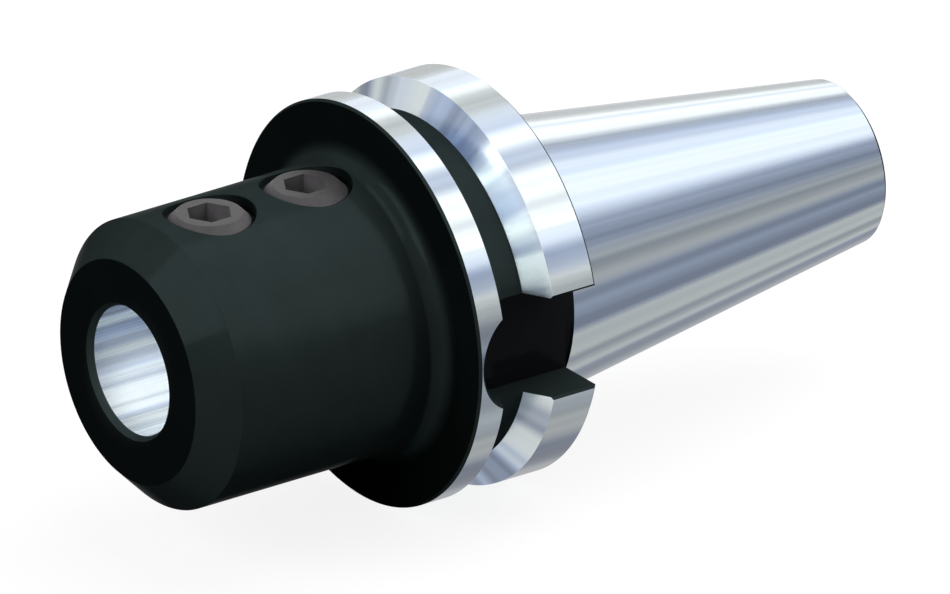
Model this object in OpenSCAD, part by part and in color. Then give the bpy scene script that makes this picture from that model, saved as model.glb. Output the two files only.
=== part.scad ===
// Side-lock end mill holder for a 7/24 taper machine spindle, size 50.
// The body is one turned and ground piece. Two set screws clamp the tool shank.
//
// The spindle axis lies along X: the nose points to -X and the taper to +X.
// The origin is the middle of the gauge line. The set screws point to +Z,
// and the two drive slots face -Y and +Y.
// A station is a distance from the gauge line, counted towards the nose.

/* [Spindle taper] */
// Diameter of the taper at the gauge line
gauge_d = 69.85; // [66:0.05:70.3]
// Length of the taper from the gauge line to its small end
taper_len = 101.8; // [92:0.1:120]
// Change of diameter over the run below
taper_rise = 7; // [6:0.5:8]
// Run of the taper
taper_run = 24; // [22:1:30]
// Chamfer at the small end
taper_edge = 1; // [0.4:0.1:2]

/* [Flange] */
// Gap between the gauge line and the flange
neck_len = 3; // [2:0.5:6]
// Depth of the relief under the taper's large end, on the radius
neck_relief = 0.5; // [0.2:0.1:2]
// Outer diameter of the flange
flange_d = 100; // [96:1:110]
// Thickness of the flange
flange_w = 35; // [33:0.5:40]
// Chamfer on the flange's front and rear edges
flange_edge = 0.6; // [0.3:0.1:1.5]
// Station of the middle of the gripper groove
groove_station = 23; // [21:0.1:25]
// Width of the gripper groove at the rim
groove_mouth_w = 15; // [13:0.1:17]
// Angle between the walls of the gripper groove
groove_angle = 60; // [50:1:66]
// Diameter of the groove's floor
groove_floor_d = 86; // [82:0.5:90]

/* [Drive slots] */
// Width of a drive slot
slot_w = 25.7; // [20:0.1:28]
// Distance of a slot's floor from the spindle axis
slot_floor = 35.4; // [35.2:0.1:38]
// Distance from a slot's rounded end to the flange's front face
slot_land = 1.6; // [0.8:0.1:6]

/* [Nose] */
// Diameter of the nose
nose_d = 71.5; // [68:0.5:76]
// Distance from the gauge line to the nose face
nose_reach = 105; // [102:1:130]
// Chamfer at the end of the nose
nose_chamfer = 8; // [3:0.5:9]
// Fillet between the nose and the flange
nose_fillet = 5; // [2:0.5:7]

/* [Tool bore] */
// Diameter of the bore for the tool shank
bore_d = 32; // [28:0.5:36]
// Depth of the bore for the tool shank
bore_depth = 64; // [60:1:70]
// Width of the lead-in at the mouth of the bore, on the radius
bore_mouth = 1; // [0.3:0.1:1.5]
// Depth of the lead-in at the mouth of the bore
bore_mouth_depth = 1.6; // [0.5:0.1:3]
// Chamfer where the bore's floor meets the coolant hole
coolant_edge = 1; // [0.4:0.1:2]
// Diameter of the coolant hole along the axis
coolant_d = 14; // [8:0.5:18]

/* [Pull stud socket] */
// Diameter of the plain pilot bore
pilot_d = 25; // [24:0.5:28]
// Depth of the plain pilot bore
pilot_depth = 11.5; // [6:0.5:16]
// Chamfer at the mouth of the pilot bore
pilot_mouth = 1; // [0.4:0.1:2]
// Inside diameter of the threaded hole behind it
stud_hole_d = 20.8; // [19:0.1:23]
// Depth of the threaded hole from the small end
stud_hole_depth = 61; // [50:1:70]
// Angle of the cone that a drill leaves
drill_angle = 118; // [90:1:140]

/* [Set screws] */
// Diameter of a set screw
screw_d = 20; // [16:0.5:21]
// Distance from the nose face to the front screw
screw_from_face = 24; // [21:0.5:26]
// Distance between the two screws
screw_spacing = 28; // [26:0.5:30]
// Radial play of a screw in its hole
screw_play = 0.05; // [0.02:0.01:0.1]
// Depth of a screw's top face below the crown of the nose
screw_sink = 0.55; // [0.2:0.05:2]
// Gap between a screw's tip and the bore wall when backed off
tip_gap = 0.2; // [0.1:0.1:1]
// Chamfer at a screw's top
screw_chamfer = 1.8; // [0.6:0.1:2.5]
// Chamfer at a screw's flat tip
tip_chamfer = 1.5; // [0.6:0.1:2.5]
// Radial gap round a screw in the plain pocket above its thread
pocket_gap = 1.2; // [0.8:0.1:2]
// Depth of the pocket below the crown of the nose
pocket_depth = 3.5; // [2.5:0.5:6]

/* [Hex sockets] */
// Width of the hex socket across its flats
socket_af = 10; // [8:0.5:11]
// Depth of the hex socket
socket_depth = 10; // [6:0.5:12]

/* [Hidden] */

$fn = 96;

// What a cut reaches past the face that it opens
overcut = 1;

blackened = [0.17, 0.19, 0.19];
screw_grey = [0.36, 0.36, 0.38];

gauge_r = gauge_d / 2;
flange_r = flange_d / 2;
nose_r = nose_d / 2;
bore_r = bore_d / 2;

// Radius of the taper's small end
small_r = gauge_r - taper_len * taper_rise / taper_run / 2;
neck_r = gauge_r - neck_relief;
flange_front = neck_len + flange_w;

groove_floor_r = groove_floor_d / 2;
groove_half = groove_mouth_w / 2;
groove_floor_half = groove_half - (flange_r - groove_floor_r) * tan(groove_angle / 2);

bore_floor = nose_reach - bore_depth;
coolant_r = coolant_d / 2;

small_end = -taper_len;
pilot_r = pilot_d / 2;
stud_hole_r = stud_hole_d / 2;

screw_r = screw_d / 2;
screw_hole_r = screw_r + screw_play;
pocket_r = screw_r + pocket_gap;
screw_top = nose_r - screw_sink;
screw_tip = bore_r + tip_gap;
front_station = nose_reach - screw_from_face;
rear_station = front_station - screw_spacing;

// A hexagon's corner circle, from its width across the flats
socket_corner_r = socket_af / 2 / cos(30);

// Length of the cone that a drill of a given radius leaves
function drill_cone(r) = r / tan(drill_angle / 2);

// Puts a shape turned about Z on the spindle axis: Z goes to -X, X goes to +Z
module on_spindle_axis() {
    rotate([0, -90, 0]) children();
}

// Puts a shape that stands on Z at a station, with Z pointing away from the axis
module at_station(station) {
    translate([-station, 0, 0]) children();
}

// Half section of the taper and the relieved neck, radius along X
module taper_section() {
    edge_r = small_r + taper_edge * taper_rise / taper_run / 2;
    polygon([
        [0, small_end],
        [small_r - taper_edge, small_end],
        [edge_r, small_end + taper_edge],
        [gauge_r, 0],
        [neck_r, gauge_r - neck_r],
        [neck_r, neck_len + overcut],
        [0, neck_len + overcut],
    ]);
}

// Half section of the flange with its gripper groove
module flange_section() {
    polygon([
        [0, neck_len],
        [flange_r - flange_edge, neck_len],
        [flange_r, neck_len + flange_edge],
        [flange_r, groove_station - groove_half],
        [groove_floor_r, groove_station - groove_floor_half],
        [groove_floor_r, groove_station + groove_floor_half],
        [flange_r, groove_station + groove_half],
        [flange_r, flange_front - flange_edge],
        [flange_r - flange_edge, flange_front],
        [0, flange_front],
    ]);
}

// Half section of the nose with its fillet to the flange
module nose_section() {
    polygon([
        [0, flange_front - overcut],
        [nose_r, flange_front - overcut],
        [nose_r, nose_reach - nose_chamfer],
        [nose_r - nose_chamfer, nose_reach],
        [0, nose_reach],
    ]);
    translate([nose_r, flange_front]) difference() {
        translate([-overcut, -overcut]) square(nose_fillet + overcut);
        translate([nose_fillet, nose_fillet]) circle(nose_fillet);
    }
}

// The turned outside of the body, solid inside
module turned_blank() {
    rotate_extrude() {
        taper_section();
        flange_section();
        nose_section();
    }
}

// The bore for the tool shank, with its lead-in
module tool_bore() {
    translate([0, 0, bore_floor]) cylinder(r = bore_r, h = bore_depth + overcut);
    translate([0, 0, nose_reach - bore_mouth_depth])
        cylinder(r1 = bore_r, r2 = bore_r + bore_mouth, h = bore_mouth_depth);
    translate([0, 0, bore_floor - coolant_edge])
        cylinder(r1 = coolant_r, r2 = coolant_r + coolant_edge, h = coolant_edge);
}

// The pilot bore, the threaded hole and the drill cone behind the small end
module stud_socket() {
    stud_hole_end = small_end + stud_hole_depth;
    translate([0, 0, small_end - overcut]) cylinder(r = pilot_r, h = pilot_depth + overcut);
    translate([0, 0, small_end - overcut])
        cylinder(r1 = pilot_r + pilot_mouth + overcut, r2 = pilot_r, h = pilot_mouth + overcut);
    translate([0, 0, small_end]) cylinder(r = stud_hole_r, h = stud_hole_depth);
    translate([0, 0, stud_hole_end])
        cylinder(r1 = stud_hole_r, r2 = 0, h = drill_cone(stud_hole_r));
}

// The coolant hole joins the stud socket to the tool bore
module coolant_hole() {
    translate([0, 0, small_end]) cylinder(r = coolant_r, h = bore_floor - small_end + overcut);
}

// A drive slot towards +Y, open to the rear and rounded at its front end
module drive_slot() {
    slot_r = slot_w / 2;
    slot_height = flange_r - slot_floor + overcut;
    slot_centre = flange_front - slot_land - slot_r;
    translate([-slot_r, slot_floor, 0]) cube([slot_w, slot_height, slot_centre]);
    translate([0, slot_floor, slot_centre]) rotate([-90, 0, 0])
        cylinder(r = slot_r, h = slot_height);
}

// A screw's hole into the bore, with the plain pocket at the crown of the nose
module screw_hole() {
    cylinder(r = screw_hole_r, h = nose_r + overcut);
    translate([0, 0, nose_r - pocket_depth])
        cylinder(r = pocket_r, h = pocket_depth + nose_fillet + overcut);
}

module holder_body() {
    color(blackened) difference() {
        on_spindle_axis() difference() {
            turned_blank();
            tool_bore();
            stud_socket();
            coolant_hole();
            drive_slot();
            mirror([0, 1, 0]) drive_slot();
        }
        at_station(front_station) screw_hole();
        at_station(rear_station) screw_hole();
    }
}

// A set screw with a flat tip, standing on Z; its thread is left plain
module set_screw() {
    difference() {
        rotate_extrude() polygon([
            [0, screw_tip],
            [screw_r - tip_chamfer, screw_tip],
            [screw_r, screw_tip + tip_chamfer],
            [screw_r, screw_top - screw_chamfer],
            [screw_r - screw_chamfer, screw_top],
            [0, screw_top],
        ]);
        translate([0, 0, screw_top - socket_depth])
            cylinder(r = socket_corner_r, h = socket_depth + overcut, $fn = 6);
        translate([0, 0, screw_top - socket_depth - drill_cone(socket_af / 2)])
            cylinder(r1 = 0, r2 = socket_af / 2, h = drill_cone(socket_af / 2));
    }
}

module front_set_screw() {
    color(screw_grey) at_station(front_station) set_screw();
}

module rear_set_screw() {
    color(screw_grey) at_station(rear_station) set_screw();
}

holder_body();
front_set_screw();
rear_set_screw();
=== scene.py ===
"""The looks of a side-lock end mill holder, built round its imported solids.

Sizes are in millimetres until a mesh is made. A station is a distance from the
gauge line towards the nose, an angle is measured round the spindle axis from +Z
towards -Y, and both drive slots face along Y.
"""

import math

import bpy
import numpy as np
from mathutils import Matrix, Vector


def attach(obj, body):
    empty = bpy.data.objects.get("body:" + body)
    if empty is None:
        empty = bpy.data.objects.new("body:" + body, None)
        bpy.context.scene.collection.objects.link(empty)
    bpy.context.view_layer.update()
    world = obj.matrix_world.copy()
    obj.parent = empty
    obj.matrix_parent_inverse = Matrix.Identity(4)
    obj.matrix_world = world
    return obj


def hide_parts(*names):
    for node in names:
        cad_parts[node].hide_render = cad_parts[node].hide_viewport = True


MM = 0.001
TURN = 2 * math.pi

# Taper and flange
GAUGE_R = 69.85 / 2
TAPER_SLOPE = 7 / 24 / 2
SMALL_END = -101.8
TAPER_EDGE = 1.0
NECK_RELIEF = 0.5
NECK_R = GAUGE_R - NECK_RELIEF
FLANGE_REAR = 3.0
FLANGE_W = 35.0
FLANGE_FRONT = FLANGE_REAR + FLANGE_W
FLANGE_R = 50.0
FLANGE_EDGE = 0.6
GROOVE_MIDDLE = 23.0
GROOVE_HALF = 7.5
GROOVE_REAR = GROOVE_MIDDLE - GROOVE_HALF
GROOVE_FRONT = GROOVE_MIDDLE + GROOVE_HALF
GROOVE_FLOOR_R = 43.0
GROOVE_WALL_ANGLE = 30.0
GROOVE_RUN = (FLANGE_R - GROOVE_FLOOR_R) * math.tan(math.radians(GROOVE_WALL_ANGLE))

# Nose and tool bore
NOSE_R = 35.75
NOSE_FACE = 105.0
NOSE_CHAMFER = 8.0
NOSE_FILLET = 5.0
BORE_R = 16.0
BORE_DEPTH = 64.0
BORE_FLOOR = NOSE_FACE - BORE_DEPTH
BORE_MOUTH = 1.0
BORE_MOUTH_LEN = 1.6
COOLANT_R = 7.0
COOLANT_EDGE = 1.0

# Pull stud socket
PILOT_R = 12.5
PILOT_DEPTH = 11.5
PILOT_END = SMALL_END + PILOT_DEPTH
PILOT_MOUTH = 1.0
STUD_MINOR_R = 10.4
STUD_MAJOR_R = 12.0
STUD_PITCH = 3.0
STUD_DEPTH = 61.0
STUD_END = SMALL_END + STUD_DEPTH
DRILL_HALF_ANGLE = 59.0

# Drive slots
SLOT_HALF = 12.85
SLOT_FLOOR = 35.4
SLOT_LAND = 1.6
SLOT_CENTRE = FLANGE_FRONT - SLOT_LAND - SLOT_HALF
SLOT_EDGE = 0.7

# Set screws
SCREW_FROM_FACE = 24.0
SCREW_SPACING = 28.0
FRONT_STATION = NOSE_FACE - SCREW_FROM_FACE
SCREW_STATIONS = {"front": FRONT_STATION, "rear": FRONT_STATION - SCREW_SPACING}
SCREW_R = 10.0
SCREW_ROOT_R = 8.8
SCREW_PITCH = 2.0
SCREW_SINK = 0.55
SCREW_TOP = NOSE_R - SCREW_SINK
TIP_GAP = 0.2
SCREW_TIP = BORE_R + TIP_GAP
SCREW_CHAMFER = 2.0
TIP_CHAMFER = 1.5
COLLAR_FOOT = 32.0
SOCKET_AF = 10.0
SOCKET_DEPTH = 10.0

# Screw holes
SCREW_PLAY = 0.05
HOLE_R = SCREW_R + SCREW_PLAY
HOLE_MAJOR_R = 10.9
POCKET_GAP = 1.2
POCKET_R = SCREW_R + POCKET_GAP
POCKET_DEPTH = 3.5
POCKET_FLOOR = NOSE_R - POCKET_DEPTH
POCKET_EDGE = 0.15

# Roundings of machined corners
BREAK = 0.2
EDGE_BREAK = 0.1
RIM_BREAK = 0.12
NOSE_BREAK = 0.3
FOOT_ROUND = 0.4

# A 60 degree thread, in shares of its pitch
CREST_SHARE = 1 / 8
FLANK_SHARE = 5 / 16

# Mesh steps, and the angles in degrees up to which a mesh looks smooth
LATHE_STEPS = 288
HOLE_STEPS = 96
CONE_STEPS = 48
SLOT_STEPS = 48
HEX_SIDES = 6
ARC_STEP = 0.5
BODY_SMOOTH = 32
SCREW_SMOOTH = 25

# What a cutter reaches past the surface that it opens
OVERCUT = 1.0
THREAD_OVERLAP = 0.5
SLOT_CLEARANCE = 4.0
POCKET_CLEARANCE = 12.0

# Tints of bright steel, bluest in the dark bands as a painted reflection
LAVENDER = (0.62, 0.75, 1.0)
PALE_BLUE = (0.78, 0.88, 1.0)
MINT = (0.90, 0.98, 1.0)

# Share of fine lines in the bands of bright steel, where a finish gives no other
EVEN_LINES = 0.04

# The photograph's direction in degrees, and the place sideways and up that it looks at
CAMERA_AZIMUTH = -35.2
CAMERA_ELEVATION = 24.28
CAMERA_ROLL = -0.39
CAMERA_AT = (-3.33, -7.62)

# Camera, floor and sky, in metres and in shares of white
CAMERA_WIDTH = 0.22512
CAMERA_DISTANCE = 1.2
CAMERA_REACH = (0.01, 10)
FLOOR_Z = -FLANGE_R * MM
FLOOR_HALF = 4.0
FLOOR_GREY = 0.2
FLOOR_GLOW = 0.88
SKY_LIGHT = 0.03
PANEL_DISTANCE = 1.6

# Finishes, some of them painted light or shade, and the surface regions that take them
BLACK = "black"
# Painted shade: a darker copy of the black oxide
PAINTED_SHADE_BLACK = "dark"
TAPER = "taper"
RIM = "rim"
# Painted light: a brighter copy of the ground steel
PAINTED_LIGHT_WALL = "wall"
HONED = "honed"
PHOSPHATE = "phosphate"
# Painted light: a lighter copy of the phosphate
PAINTED_LIGHT_SOCKET = "socket"
REGIONS = []


def region(finish, band=None):
    """Number of a new surface region: its finish, and the profile band it lies on."""
    REGIONS.append((finish, band))
    return len(REGIONS) - 1


def unit(v):
    """The vector at length 1."""
    length = math.hypot(*v)
    return tuple(x / length for x in v)


def band_normal(p, q):
    """Outward normal of a profile line, as (station, radius)."""
    return unit((p[1] - q[1], q[0] - p[0]))


def rounded_profile(corners):
    """Profile bands through corners.

    A corner is a station, a radius, its rounding, and the finish of the line that
    follows. A band is its two ends, the normals there, and its finish.
    """
    bands = []
    count = len(corners)
    ends = []
    for i, (s, r, rounding, _) in enumerate(corners):
        if rounding == 0 or i in (0, count - 1):
            ends.append(((s, r), (s, r), None))
            continue
        here = np.array((s, r))
        back = np.array(corners[i - 1][:2]) - here
        ahead = np.array(corners[i + 1][:2]) - here
        back = back / np.linalg.norm(back)
        ahead = ahead / np.linalg.norm(ahead)
        half = math.acos(max(-1, min(1, float(back @ ahead)))) / 2
        reach = rounding / math.tan(half)
        middle = here + (back + ahead) / np.linalg.norm(back + ahead) * rounding / math.sin(half)
        ends.append((tuple(here + back * reach), tuple(here + ahead * reach), middle))
    for i in range(count):
        start, stop, middle = ends[i]
        if middle is not None:
            # A rounding is black where the line before it is, or else like the line after it
            finish = corners[i - 1][3] if corners[i - 1][3] == BLACK else corners[i][3]
            bands += arc_bands(start, stop, middle, finish)
        if i + 1 < count:
            p, q = stop, ends[i + 1][0]
            n = band_normal(p, q)
            bands.append((p, q, n, n, corners[i][3]))
    return bands


def arc_bands(start, stop, middle, finish):
    """Bands along a circular arc, with the arc's true normals."""
    a = np.array(start) - middle
    b = np.array(stop) - middle
    turn = math.atan2(a[0] * b[1] - a[1] * b[0], float(a @ b))
    steps = max(3, round(abs(turn) * np.linalg.norm(a) / ARC_STEP))
    outward = 1 if turn < 0 else -1
    points = []
    for k in range(steps + 1):
        t = turn * k / steps
        points.append(np.array((a[0] * math.cos(t) - a[1] * math.sin(t),
                                a[0] * math.sin(t) + a[1] * math.cos(t))))
    bands = []
    for p, q in zip(points, points[1:]):
        bands.append((tuple(middle + p), tuple(middle + q),
                      unit(outward * p), unit(outward * q), finish))
    return bands


def place(station, radius, angle):
    """A point of the world, in millimetres, from its place round the spindle axis."""
    return (-station, -radius * math.sin(angle), radius * math.cos(angle))


def new_mesh(name, points, faces, tags):
    """A mesh object in metres whose face tags are kept as material numbers.

    Its faces are turned outwards where they all point inwards.
    """
    volume = sum(np.dot(points[f[0]], np.cross(points[b], points[c]))
                 for f in faces for b, c in zip(f[1:], f[2:]))
    if volume < 0:
        faces = [f[::-1] for f in faces]
    mesh = bpy.data.meshes.new(name)
    mesh.from_pydata([tuple(c * MM for c in p) for p in points], [], faces)
    mesh.polygons.foreach_set("material_index", tags)
    mesh.update()
    made = bpy.data.objects.new(name, mesh)
    bpy.context.scene.collection.objects.link(made)
    return made


def lathe(name, bands, steps):
    """A closed turned solid. The bands run from the axis, round the outside, to the axis."""
    profile = [bands[0][0]] + [b[1] for b in bands]
    points, rings = [], []
    for s, r in profile:
        first = len(points)
        if r == 0:
            points.append(place(s, 0, 0))
            rings.append([first] * steps)
        else:
            points += [place(s, r, TURN * j / steps) for j in range(steps)]
            rings.append(list(range(first, first + steps)))
    faces, tags = [], []
    for i, band in enumerate(bands):
        tag = region(band[4], band)
        a, b = rings[i], rings[i + 1]
        for j in range(steps):
            k = (j + 1) % steps
            corner = [a[j], b[j], b[k], a[k]]
            faces.append([v for n, v in enumerate(corner) if v not in corner[:n]])
            tags.append(tag)
    return new_mesh(name, points, faces, tags)


def loft(name, rows, tags):
    """A closed solid through loops of points, capped at both ends.

    The tags are the first cap's, then one for each stretch between two loops, then the
    last cap's.
    """
    points = [p for row in rows for p in row]
    size = len(rows[0])
    faces = [list(range(size))[::-1]]
    used = [tags[0]]
    for i in range(len(rows) - 1):
        for j in range(size):
            k = (j + 1) % size
            faces.append([i * size + j, i * size + k, (i + 1) * size + k, (i + 1) * size + j])
            used.append(tags[i + 1])
    faces.append(list(range((len(rows) - 1) * size, len(rows) * size)))
    used.append(tags[-1])
    return new_mesh(name, points, faces, used)


def thread_radius(phase, crest, root):
    """Radius of a thread at a phase of its pitch, from 0 to 1."""
    u = phase % 1.0
    if u < CREST_SHARE:
        share = 1.0
    elif u < CREST_SHARE + FLANK_SHARE:
        share = 1 - (u - CREST_SHARE) / FLANK_SHARE
    elif u < 1 - FLANK_SHARE:
        share = 0.0
    else:
        share = (u - (1 - FLANK_SHARE)) / FLANK_SHARE
    return root + (crest - root) * share


def threaded_rod(name, tag, low, high, crest, root, pitch, rows_a_turn, span=None):
    """A closed rod along Z with a right-handed thread.

    span, where it is given, takes a height and returns the least and most radius there.
    """
    count = max(2, round((high - low) / pitch * rows_a_turn))
    heights = [low + (high - low) * i / count for i in range(count + 1)]
    rows = []
    for z in heights:
        row = []
        least, most = span(z) if span else (root, crest)
        for j in range(HOLE_STEPS):
            angle = TURN * j / HOLE_STEPS
            r = thread_radius(z / pitch - angle / TURN, crest, root)
            r = min(max(r, least), most)
            row.append((r * math.cos(angle), r * math.sin(angle), z))
        rows.append(row)
    return loft(name, rows, [tag] * (len(rows) + 1))


def cut(body, cutters):
    """Takes the cutters out of the body, whose object gets a new mesh."""
    for cutter in cutters:
        mod = body.modifiers.new("cut", "BOOLEAN")
        mod.operation = "DIFFERENCE"
        mod.solver = "MANIFOLD"
        mod.object = cutter
    bpy.context.view_layer.update()
    done = body.evaluated_get(bpy.context.evaluated_depsgraph_get())
    mesh = bpy.data.meshes.new_from_object(done)
    body.modifiers.clear()
    body.data = mesh
    for cutter in cutters:
        bpy.data.objects.remove(cutter)


def smooth(mesh, angle):
    """Smooth shading, but for edges sharper than an angle in degrees."""
    mesh.polygons.foreach_set("use_smooth", [True] * len(mesh.polygons))
    mesh.set_sharp_from_angle(angle=math.radians(angle))


def true_normals(obj):
    """Gives turned bands their exact normals, and the rest smooth ones."""
    mesh = obj.data
    smooth(mesh, BODY_SMOOTH)
    normals = np.zeros(len(mesh.loops) * 3)
    mesh.corner_normals.foreach_get("vector", normals)
    normals = normals.reshape(-1, 3)
    points = np.zeros(len(mesh.vertices) * 3)
    mesh.vertices.foreach_get("co", points)
    points = points.reshape(-1, 3) / MM
    on_axis = 1e-6
    for face in mesh.polygons:
        band = REGIONS[face.material_index][1]
        if band is None:
            continue
        (s0, r0), (s1, r1), n0, n1, _ = band
        length = (s1 - s0) ** 2 + (r1 - r0) ** 2
        for loop in face.loop_indices:
            x, y, z = points[mesh.loops[loop].vertex_index]
            r = math.hypot(y, z)
            t = ((-x - s0) * (s1 - s0) + (r - r0) * (r1 - r0)) / length
            t = max(0.0, min(1.0, t))
            ns = n0[0] + (n1[0] - n0[0]) * t
            nr = n0[1] + (n1[1] - n0[1]) * t
            n = Vector((-ns, nr * y / r, nr * z / r)) if r > on_axis else Vector((-ns, 0, 0))
            n.normalize()
            if n.dot(face.normal) < 0:
                n.negate()
            normals[loop] = n
    mesh.normals_split_custom_set(normals.tolist())


def finish_faces(obj, materials):
    """Turns the region numbers of the faces into the numbers of the finished materials."""
    names = list(materials)
    numbers = [names.index(REGIONS[f.material_index][0]) for f in obj.data.polygons]
    obj.data.materials.clear()
    for name in names:
        obj.data.materials.append(materials[name])
    obj.data.polygons.foreach_set("material_index", numbers)


def turned_blank():
    """The turned outside of the body."""
    small_r = GAUGE_R + SMALL_END * TAPER_SLOPE
    taper_start = SMALL_END + TAPER_EDGE
    corners = [
        (SMALL_END, 0, 0, BLACK),
        (SMALL_END, small_r - TAPER_EDGE, BREAK, BLACK),
        (taper_start, small_r + TAPER_EDGE * TAPER_SLOPE, BREAK, TAPER),
        (0, GAUGE_R, 0, BLACK),
        (GAUGE_R - NECK_R, NECK_R, 0, PAINTED_SHADE_BLACK),
        (FLANGE_REAR, NECK_R, FOOT_ROUND, BLACK),
        (FLANGE_REAR, FLANGE_R - FLANGE_EDGE, EDGE_BREAK, BLACK),
        (FLANGE_REAR + FLANGE_EDGE, FLANGE_R, EDGE_BREAK, RIM),
        (GROOVE_REAR, FLANGE_R, RIM_BREAK, PAINTED_LIGHT_WALL),
        (GROOVE_REAR + GROOVE_RUN, GROOVE_FLOOR_R, FOOT_ROUND, BLACK),
        (GROOVE_FRONT - GROOVE_RUN, GROOVE_FLOOR_R, FOOT_ROUND, PAINTED_LIGHT_WALL),
        (GROOVE_FRONT, FLANGE_R, RIM_BREAK, RIM),
        (FLANGE_FRONT - FLANGE_EDGE, FLANGE_R, EDGE_BREAK, BLACK),
        (FLANGE_FRONT, FLANGE_R - FLANGE_EDGE, EDGE_BREAK, BLACK),
        (FLANGE_FRONT, NOSE_R, NOSE_FILLET, BLACK),
        (NOSE_FACE - NOSE_CHAMFER, NOSE_R, NOSE_BREAK, BLACK),
        (NOSE_FACE, NOSE_R - NOSE_CHAMFER, NOSE_BREAK, BLACK),
        (NOSE_FACE, 0, 0, BLACK),
    ]
    return lathe("holder_body_dressed", rounded_profile(corners), LATHE_STEPS)


def drill_cone(radius):
    """Length of the cone that a drill of a radius leaves."""
    return radius / math.tan(math.radians(DRILL_HALF_ANGLE))


def inner_cutter():
    """The stud socket, the coolant hole and the tool bore as one turned cutter."""
    cone = drill_cone(STUD_MINOR_R - COOLANT_R)
    mouth_slope = BORE_MOUTH / BORE_MOUTH_LEN
    corners = [
        (SMALL_END - OVERCUT, 0, 0, BLACK),
        (SMALL_END - OVERCUT, PILOT_R + PILOT_MOUTH + OVERCUT, 0, BLACK),
        (SMALL_END + PILOT_MOUTH, PILOT_R, BREAK, HONED),
        (PILOT_END, PILOT_R, BREAK, BLACK),
        (PILOT_END, STUD_MINOR_R, 0, BLACK),
        (STUD_END, STUD_MINOR_R, 0, BLACK),
        (STUD_END + cone, COOLANT_R, BREAK, BLACK),
        (BORE_FLOOR - COOLANT_EDGE, COOLANT_R, BREAK, BLACK),
        (BORE_FLOOR, COOLANT_R + COOLANT_EDGE, BREAK, HONED),
        (BORE_FLOOR, BORE_R, BREAK, HONED),
        (NOSE_FACE - BORE_MOUTH_LEN, BORE_R, BREAK, BLACK),
        (NOSE_FACE + OVERCUT, BORE_R + BORE_MOUTH + OVERCUT * mouth_slope, 0, BLACK),
        (NOSE_FACE + OVERCUT, 0, 0, BLACK),
    ]
    return lathe("inner_cutter", rounded_profile(corners), LATHE_STEPS)


def stud_thread_cutter():
    """Thread grooves of the pull stud hole, cut outwards from its plain wall."""
    under_wall = 0.05
    runout = 1.0
    rod = threaded_rod(
        "stud_thread", region(BLACK), PILOT_END - THREAD_OVERLAP, STUD_END - runout,
        STUD_MAJOR_R, STUD_MINOR_R - under_wall, STUD_PITCH, rows_a_turn=16)
    rod.data.transform(Matrix.Rotation(math.radians(90), 4, "Y"))
    return rod


def slot_outline(offset):
    """A drive slot's outline, grown by an offset, as (sideways, station)."""
    half = SLOT_HALF + offset
    loop = [(half, -OVERCUT)]
    for k in range(SLOT_STEPS + 1):
        t = math.pi * k / SLOT_STEPS
        loop.append((half * math.cos(t), SLOT_CENTRE + half * math.sin(t)))
    loop.append((-half, -OVERCUT))
    return loop


def drive_slot_cutter(side):
    """A drive slot with its flared edge, towards +Y or -Y.

    Each row of the cutter has an offset from the slot's outline and a height above
    the flange's rim. The first lies on the slot's floor.
    """
    past = 0.3
    flare = SLOT_EDGE + past
    rows = []
    for offset, height in ((0, None), (0, -SLOT_EDGE), (flare, past), (flare, SLOT_CLEARANCE)):
        row = []
        for across, station in slot_outline(offset):
            rim = math.sqrt(FLANGE_R ** 2 - across ** 2)
            y = SLOT_FLOOR if height is None else rim + height
            row.append((-station, side * y, side * across))
        rows.append(row)
    wall = region(BLACK)
    return loft("drive_slot_cutter", rows, [region(PAINTED_SHADE_BLACK)] + [wall] * 4)


def screw_hole_cutters(station):
    """A screw's threaded hole, and the plain pocket above it with its broken edge.

    The rows of the pocket's cutter are those of a drive slot's, over the crown of the
    nose instead of the rim.
    """
    inside_bore = BORE_R * 0.6
    rod = threaded_rod(
        "screw_thread", region(BLACK), inside_bore, POCKET_FLOOR + THREAD_OVERLAP,
        HOLE_MAJOR_R, HOLE_R, SCREW_PITCH, rows_a_turn=12)
    rod.data.transform(Matrix.Translation((-station * MM, 0, 0)))
    past = 0.1
    flare = POCKET_EDGE + past
    rows = []
    for offset, height in ((0, None), (0, -POCKET_EDGE), (flare, past), (flare, POCKET_CLEARANCE)):
        row = []
        for j in range(HOLE_STEPS):
            angle = TURN * j / HOLE_STEPS
            along = (POCKET_R + offset) * math.cos(angle)
            across = (POCKET_R + offset) * math.sin(angle)
            crown = math.sqrt(NOSE_R ** 2 - across ** 2)
            crown += fillet_rise(station - along)
            z = POCKET_FLOOR if height is None else crown + height
            row.append((along - station, across, z))
        rows.append(row)
    pocket = loft("pocket_cutter", rows, [region(BLACK)] * 5)
    return [rod, pocket]


def fillet_rise(station):
    """How far the fillet stands above the nose at a station."""
    run = FLANGE_FRONT + NOSE_FILLET - station
    if run <= 0:
        return 0.0
    return NOSE_FILLET - math.sqrt(max(0.0, NOSE_FILLET ** 2 - run ** 2))


def make_body(materials):
    """The holder's body in full detail."""
    body = turned_blank()
    cutters = [inner_cutter(), stud_thread_cutter()]
    cutters += [drive_slot_cutter(1), drive_slot_cutter(-1)]
    for station in SCREW_STATIONS.values():
        cutters += screw_hole_cutters(station)
    cut(body, cutters)
    true_normals(body)
    finish_faces(body, materials)
    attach(body, "holder")
    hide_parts("holder_body")


def screw_span(z):
    """A screw's least and most radius at a height: its plain collar and its end chamfers."""
    top = SCREW_R - SCREW_CHAMFER + (SCREW_TOP - z)
    tip = SCREW_R - TIP_CHAMFER + (z - SCREW_TIP)
    collar = min(SCREW_R, SCREW_R - (COLLAR_FOOT - z))
    return collar, min(SCREW_R, top, tip)


def ring(radius, height, count):
    """Points round Z at a radius and a height."""
    return [(radius * math.cos(TURN * j / count), radius * math.sin(TURN * j / count), height)
            for j in range(count)]


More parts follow.
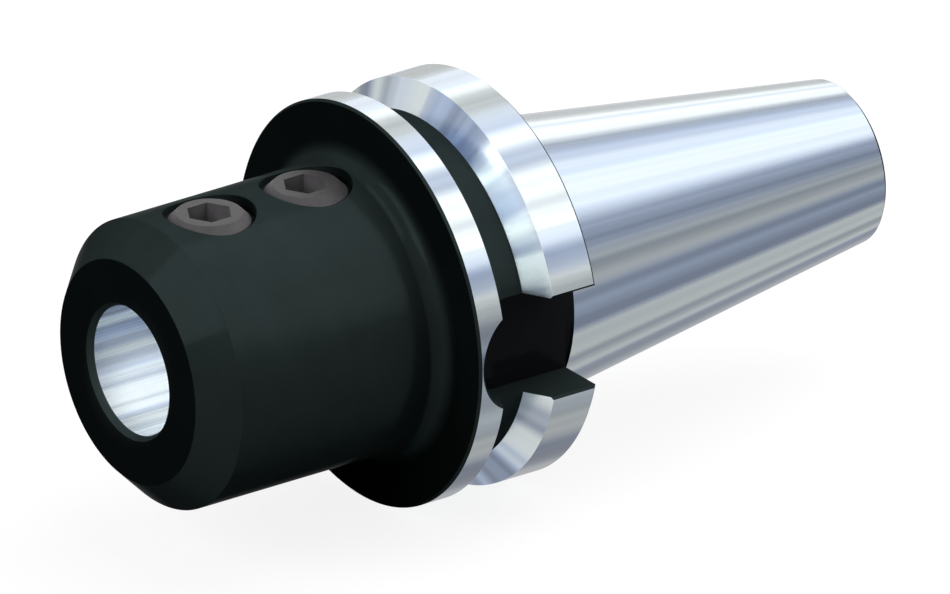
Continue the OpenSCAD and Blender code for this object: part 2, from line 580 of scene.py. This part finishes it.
def hex_cutters():
    """The hex socket, and the cone that a drill leaves at its floor."""
    flat_r = SOCKET_AF / 2
    corner_r = flat_r / math.cos(math.pi / HEX_SIDES)
    point_r = 0.01
    above_floor = 0.5
    floor = SCREW_TOP - SOCKET_DEPTH
    rows = [ring(corner_r, z, HEX_SIDES) for z in (floor, SCREW_TOP + OVERCUT)]
    socket = loft("hex_cutter", rows, [region(PAINTED_LIGHT_SOCKET)] * 3)
    outline = ((point_r, floor - drill_cone(flat_r)), (flat_r, floor), (flat_r, floor + above_floor))
    rows = [ring(r, z, CONE_STEPS) for r, z in outline]
    cone = loft("cone_cutter", rows, [region(PAINTED_LIGHT_SOCKET)] * 4)
    return [socket, cone]


def make_screw(which, materials):
    """A set screw with a real thread, a hex socket and a flat tip."""
    name = which + "_set_screw"
    screw = threaded_rod(
        name + "_dressed", region(PHOSPHATE), SCREW_TIP, SCREW_TOP, SCREW_R, SCREW_ROOT_R,
        SCREW_PITCH, rows_a_turn=20, span=screw_span)
    cut(screw, hex_cutters())
    mesh = screw.data
    smooth(mesh, SCREW_SMOOTH)
    mesh.transform(Matrix.Translation((-SCREW_STATIONS[which] * MM, 0, 0)))
    finish_faces(screw, materials)
    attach(screw, which + "_screw")
    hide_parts(name)


class Nodes:
    """A short way to write a material's node tree."""

    def __init__(self, name):
        self.material = bpy.data.materials.new(name)
        self.material.use_nodes = True
        self.tree = self.material.node_tree
        self.shader = self.tree.nodes["Principled BSDF"]

    def add(self, kind, **settings):
        """A new node of a kind, with its settings."""
        node = self.tree.nodes.new(kind)
        for key, value in settings.items():
            setattr(node, key, value)
        return node

    def link(self, source, target):
        """Joins an output to an input."""
        self.tree.links.new(source, target)

    def set(self, **values):
        """Sets the shader's own sockets; an underscore in a name stands for a space."""
        for name, value in values.items():
            self.shader.inputs[name.replace("_", " ")].default_value = value

    def math(self, operation, first, second=None):
        """An operation on one or two values, each of them a number or an output."""
        node = self.add("ShaderNodeMath", operation=operation)
        for socket, value in zip(node.inputs, (first, second)):
            if value is None:
                continue
            if isinstance(value, (int, float)):
                socket.default_value = value
            else:
                self.link(value, socket)
        return node.outputs[0]

    def ramp(self, source, stops):
        """A colour ramp through (position, colour) stops."""
        node = self.add("ShaderNodeValToRGB")
        elements = node.color_ramp.elements
        while len(elements) < len(stops):
            elements.new(0.5)
        for element, (position, colour) in zip(elements, stops):
            element.position = position
            element.color = (*colour, 1)
        self.link(source, node.inputs[0])
        return node.outputs[0]

    def noise(self, vector, scale, detail=2.0, roughness=0.5):
        """Noise over a vector, about 0.5 on average."""
        node = self.add("ShaderNodeTexNoise")
        node.inputs["Scale"].default_value = scale
        node.inputs["Detail"].default_value = detail
        node.inputs["Roughness"].default_value = roughness
        self.link(vector, node.inputs["Vector"])
        return node.outputs["Fac"]

    def map_range(self, source, span, onto):
        """A value of one span, mapped in proportion onto another."""
        node = self.add("ShaderNodeMapRange")
        for socket, value in zip(node.inputs[1:5], (*span, *onto)):
            socket.default_value = value
        self.link(source, node.inputs[0])
        return node.outputs[0]

    def bump(self, height, strength, distance):
        """Gives the shader a bump from a height. The distance is in metres."""
        node = self.add("ShaderNodeBump")
        node.inputs["Strength"].default_value = strength
        node.inputs["Distance"].default_value = distance
        self.link(height, node.inputs["Height"])
        self.link(node.outputs[0], self.shader.inputs["Normal"])

    def weighted(self, *parts):
        """The sum of (value, weight) parts."""
        total = None
        for value, weight in parts:
            share = self.math("MULTIPLY", value, weight)
            total = share if total is None else self.math("ADD", total, share)
        return total

    def moved(self, vector, distance):
        """The vector moved along X, which picks another stretch of a texture."""
        node = self.add("ShaderNodeVectorMath", operation="ADD")
        node.inputs[1].default_value = (distance, 0, 0)
        self.link(vector, node.inputs[0])
        return node.outputs[0]

    def scaled(self, colour, factor):
        """The colour times a factor, both from nodes."""
        node = self.add("ShaderNodeVectorMath", operation="SCALE")
        self.link(colour, node.inputs[0])
        self.link(factor, node.inputs["Scale"])
        return node.outputs[0]

    def facing(self, axis):
        """How far the surface faces along the axis named X, Y or Z, from 0 to 1."""
        parts = self.add("ShaderNodeSeparateXYZ")
        self.link(self.add("ShaderNodeTexCoord").outputs["Normal"], parts.inputs[0])
        return self.math("ABSOLUTE", parts.outputs[axis])

    def here(self):
        """Object coordinates, in metres."""
        return self.add("ShaderNodeTexCoord").outputs["Object"]

    def from_axis(self):
        """X, Y and Z in metres, and the radius from the spindle axis, which is never zero."""
        never_zero = 1e-10
        parts = self.add("ShaderNodeSeparateXYZ")
        self.link(self.here(), parts.inputs[0])
        x, y, z = parts.outputs
        square = self.math("ADD", self.math("MULTIPLY", y, y), self.math("MULTIPLY", z, z))
        radius = self.math("SQRT", self.math("ADD", square, never_zero))
        return x, y, z, radius

    def round_axis(self):
        """The direction round the spindle axis, with a little of X in it."""
        drift_along = 0.15
        x, y, z, radius = self.from_axis()
        around = self.add("ShaderNodeCombineXYZ")
        self.link(self.math("MULTIPLY", x, drift_along), around.inputs[0])
        self.link(self.math("DIVIDE", y, radius), around.inputs[1])
        self.link(self.math("DIVIDE", z, radius), around.inputs[2])
        return around.outputs[0]

    def turned_lines(self, density):
        """Fine lines as a lathe or a grinder leaves them, the same all round the axis."""
        x, _, _, radius = self.from_axis()
        lines = self.add("ShaderNodeCombineXYZ")
        self.link(self.math("MULTIPLY", x, density), lines.inputs[0])
        self.link(self.math("MULTIPLY", radius, density), lines.inputs[1])
        return self.noise(lines.outputs[0], scale=1.0)


def black_oxide(name, low, high):
    """Black oxide with fine turning lines, mottled softly between two tones.

    A painted shade darkens the faces square to the axis.
    """
    m = Nodes(name)
    mottle = m.noise(m.here(), scale=90, detail=4, roughness=0.6)
    grain = m.noise(m.here(), scale=2600, roughness=0.6)
    tone = m.ramp(mottle, [(0.3, low), (0.7, high)])
    # Painted shade: faces that point along the axis are darkened to about a quarter of the tone.
    painted_shade = m.map_range(m.facing("X"), span=(0.72, 1.0), onto=(1.0, 0.24))
    m.link(m.scaled(tone, painted_shade), m.shader.inputs["Base Color"])
    rough = m.map_range(mottle, span=(0.3, 0.7), onto=(0.09, 0.13))
    m.link(rough, m.shader.inputs["Roughness"])
    m.set(Metallic=0.10, Specular_IOR_Level=0.0, Specular_Tint=(0.25, 0.25, 0.25, 1))
    turning = m.turned_lines(density=4200.0)
    m.bump(m.weighted((turning, 0.6), (grain, 0.4)), strength=0.05, distance=0.0002)
    return m.material


def bright_steel(name, low, high, metallic, roughness, turned, tinted, lined=EVEN_LINES):
    """Ground or honed steel: soft bands of light and dark along the part, and fine grinding lines.

    The bands are partly the steel's own grinding marks and partly painted reflection,
    with the dark bands painted bluest. turned moves the bands round the part, tinted
    moves a slow drift of their tint, and lined is the share of fine lines in them.
    """
    m = Nodes(name)
    around = m.round_axis()
    bands = m.moved(around, turned)
    broad = m.noise(bands, scale=2.4, detail=1)
    middle = m.noise(bands, scale=7.0, detail=1, roughness=0.4)
    fine = m.noise(bands, scale=34.0)
    drift = m.noise(m.moved(around, tinted), scale=3.4, detail=1)
    # The bands are partly grinding marks and partly painted reflection; turned sets where they fall
    # round the part.
    streaks_and_painted_reflection = m.weighted((broad, 0.43), (middle, 0.53), (fine, lined))
    streaks_and_painted_reflection = m.math("ADD", streaks_and_painted_reflection, (EVEN_LINES - lined) / 2)
    level = m.map_range(streaks_and_painted_reflection, span=(0.40, 0.60), onto=(low, high))
    tint = m.weighted((drift, 0.45), (streaks_and_painted_reflection, 0.55))
    hue = m.ramp(tint, [(0.44, LAVENDER), (0.51, PALE_BLUE), (0.57, MINT)])
    m.link(m.scaled(hue, level), m.shader.inputs["Base Color"])
    m.set(Metallic=metallic, Specular_Tint=(0.85, 0.85, 0.85, 1))
    rough = m.map_range(fine, span=(0.3, 0.7), onto=(roughness - 0.03, roughness + 0.05))
    m.link(rough, m.shader.inputs["Roughness"])
    m.bump(m.turned_lines(density=9000.0), strength=0.04, distance=0.0001)
    return m.material


def phosphated_steel(name, level):
    """The set screws' dull grey phosphate, slightly warm, with a fine crystalline grain.

    A painted shade makes the flat ends darker than the chamfers and the thread.
    """
    m = Nodes(name)
    mottle = m.noise(m.here(), scale=350, detail=4, roughness=0.65)
    grain = m.noise(m.here(), scale=5200, roughness=0.6)
    low = (level * 0.88, level * 0.84, level * 0.88)
    high = (level * 1.12, level * 1.07, level * 1.12)
    colour = m.ramp(mottle, [(0.3, low), (0.7, high)])
    # Painted shade: the flat ends, which face along the screw, are darkened.
    painted_shade = m.map_range(m.facing("Z"), span=(0.8, 1.0), onto=(1.0, 0.36))
    m.link(m.scaled(colour, painted_shade), m.shader.inputs["Base Color"])
    rough = m.map_range(grain, span=(0.3, 0.7), onto=(0.48, 0.62))
    m.link(rough, m.shader.inputs["Roughness"])
    m.set(Specular_IOR_Level=0.25)
    m.bump(grain, strength=0.12, distance=0.0001)
    return m.material


def seen_directly(tree):
    """1 for rays that show the background: from the camera, a mirror or glass."""
    path = tree.nodes.new("ShaderNodeLightPath")
    total = path.outputs["Is Camera Ray"]
    for name in ("Is Glossy Ray", "Is Transmission Ray"):
        larger = tree.nodes.new("ShaderNodeMath")
        larger.operation = "MAXIMUM"
        tree.links.new(total, larger.inputs[0])
        tree.links.new(path.outputs[name], larger.inputs[1])
        total = larger.outputs[0]
    return total


def make_floor():
    """A plain pale floor that shows white and keeps the object's shadow."""
    corners = [(x * FLOOR_HALF, y * FLOOR_HALF, FLOOR_Z)
               for x, y in ((-1, -1), (1, -1), (1, 1), (-1, 1))]
    mesh = bpy.data.meshes.new("floor")
    mesh.from_pydata(corners, [], [(0, 1, 2, 3)])
    floor = bpy.data.objects.new("floor", mesh)
    bpy.context.scene.collection.objects.link(floor)
    m = Nodes("pale_floor")
    m.set(Base_Color=(FLOOR_GREY, FLOOR_GREY, FLOOR_GREY, 1), Roughness=0.9,
          Specular_IOR_Level=0.0, Emission_Color=(1, 1, 1, 1))
    glow = m.math("MULTIPLY", seen_directly(m.tree), FLOOR_GLOW)
    m.link(glow, m.shader.inputs["Emission Strength"])
    mesh.materials.append(m.material)


def make_world():
    """A soft even sky, white where it is seen."""
    world = bpy.data.worlds.new("studio")
    bpy.context.scene.world = world
    world.use_nodes = True
    tree = world.node_tree
    sky = tree.nodes["Background"]
    sky.inputs["Color"].default_value = (1, 1, 1, 1)
    strength = tree.nodes.new("ShaderNodeMapRange")
    strength.inputs["To Min"].default_value = SKY_LIGHT
    strength.inputs["To Max"].default_value = 1.0
    tree.links.new(seen_directly(tree), strength.inputs["Value"])
    tree.links.new(strength.outputs[0], sky.inputs["Strength"])


def hang(lamp, toward, distance, at=(0, 0, 0)):
    """Hangs a lamp at a distance in a direction from a point, facing the point."""
    made = bpy.data.objects.new(lamp.name, lamp)
    bpy.context.scene.collection.objects.link(made)
    direction = Vector(toward).normalized()
    made.location = Vector(at) + direction * distance
    made.rotation_mode = "QUATERNION"
    made.rotation_quaternion = direction.to_track_quat("Z", "Y")


def softbox(name, toward, distance, width, height, radiance):
    """An area lamp that lies in a direction from the object and faces it."""
    lamp = bpy.data.lights.new(name, "AREA")
    lamp.shape = "RECTANGLE"
    lamp.size = width
    lamp.size_y = height
    lamp.energy = radiance * math.pi * width * height
    hang(lamp, toward, distance)


def low_panel(name, heading, elevation, width, height, radiance):
    """An upright panel whose lower edge stands at an elevation, in degrees, in a heading."""
    ahead = Vector((*heading, 0)).normalized() * PANEL_DISTANCE
    low = PANEL_DISTANCE * math.tan(math.radians(elevation))
    toward = (ahead.x, ahead.y, low + height / 2)
    softbox(name, toward, math.hypot(*toward), width, height, radiance)


def bore_spot():
    """A narrow lamp that shines into the tool bore."""
    lamp = bpy.data.lights.new("bore_spot", "SPOT")
    lamp.energy = 16
    lamp.spot_size = math.radians(3.1)
    lamp.spot_blend = 0.3
    lamp.shadow_soft_size = 0.005
    hang(lamp, toward=(-0.8, -0.36, 0.48), distance=0.5, at=(-NOSE_FACE * MM, 0, 0))


def make_lights():
    """Plain studio panels: one overhead and low ones round the object."""
    softbox("top_softbox", toward=(0.5, -0.06, 1.0), distance=1.1,
            width=1.08, height=1.6, radiance=2.05)
    low_panel("right_softbox", heading=(0.60, -0.80), elevation=9.5,
              width=0.4, height=1.25, radiance=2.1)
    low_panel("back_softbox", heading=(0.60, 0.80), elevation=12.0,
              width=1.0, height=0.8, radiance=2.0)
    low_panel("nose_softbox", heading=(-1.0, 0.0), elevation=21.0,
              width=1.7, height=0.95, radiance=3.1)
    bore_spot()


def make_camera():
    """The photograph's direction, seen without perspective."""
    azimuth = math.radians(CAMERA_AZIMUTH)
    elevation = math.radians(CAMERA_ELEVATION)
    roll = math.radians(CAMERA_ROLL)
    back = Vector((math.sin(azimuth) * math.cos(elevation),
                   -math.cos(azimuth) * math.cos(elevation),
                   math.sin(elevation)))
    level = Vector((math.cos(azimuth), math.sin(azimuth), 0))
    upright = back.cross(level)
    right = level * math.cos(roll) + upright * math.sin(roll)
    up = upright * math.cos(roll) - level * math.sin(roll)
    data = bpy.data.cameras.new("camera")
    data.type = "ORTHO"
    data.ortho_scale = CAMERA_WIDTH
    data.clip_start, data.clip_end = CAMERA_REACH
    camera = bpy.data.objects.new("camera", data)
    bpy.context.scene.collection.objects.link(camera)
    at = right * CAMERA_AT[0] * MM + up * CAMERA_AT[1] * MM + back * CAMERA_DISTANCE
    turn = Matrix((right, up, back)).transposed().to_4x4()
    camera.matrix_world = Matrix.Translation(at) @ turn
    bpy.context.scene.camera = camera


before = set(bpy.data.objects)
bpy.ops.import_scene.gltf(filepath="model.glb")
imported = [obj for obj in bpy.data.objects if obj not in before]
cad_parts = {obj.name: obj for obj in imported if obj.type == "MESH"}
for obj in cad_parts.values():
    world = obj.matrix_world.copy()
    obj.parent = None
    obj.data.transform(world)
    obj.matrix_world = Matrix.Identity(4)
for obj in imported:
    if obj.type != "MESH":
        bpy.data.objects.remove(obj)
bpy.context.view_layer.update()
bpy.context.scene.view_settings.view_transform = "Standard"
make_camera()
make_world()
make_floor()
make_lights()
make_body({
    BLACK: black_oxide("black_oxide", low=(0.026, 0.036, 0.036), high=(0.030, 0.042, 0.042)),
    # Painted shade: a darker, neutral copy of the black oxide for the slot floors and the neck
    # relief
    PAINTED_SHADE_BLACK: black_oxide("painted_shade_oxide", low=(0.018, 0.019, 0.023), high=(0.021, 0.022, 0.026)),
    TAPER: bright_steel("taper_steel", low=0.25, high=0.45, metallic=1.0, roughness=0.20,
                        turned=29.7, tinted=59.3),
    RIM: bright_steel("rim_steel", low=0.19, high=0.415, metallic=1.0, roughness=0.20,
                      turned=262.4, tinted=59.4),
    # Painted light: a brighter copy of the ground steel for the groove walls
    PAINTED_LIGHT_WALL: bright_steel("painted_light_wall_steel", low=0.30, high=0.70, metallic=1.0, roughness=0.22,
                       turned=57.9, tinted=80.2),
    HONED: bright_steel("honed_steel", low=0.46, high=1.0, metallic=0.2, roughness=0.25,
                        turned=72.4, tinted=145.9, lined=0.012),
})
screw_materials = {
    PHOSPHATE: phosphated_steel("phosphated_steel", level=0.096),
    # Painted light: a lighter copy of the phosphate for the hex sockets, against the shade inside
    # them
    PAINTED_LIGHT_SOCKET: phosphated_steel("painted_light_socket_steel", level=0.16),
}
for which in SCREW_STATIONS:
    make_screw(which, screw_materials)
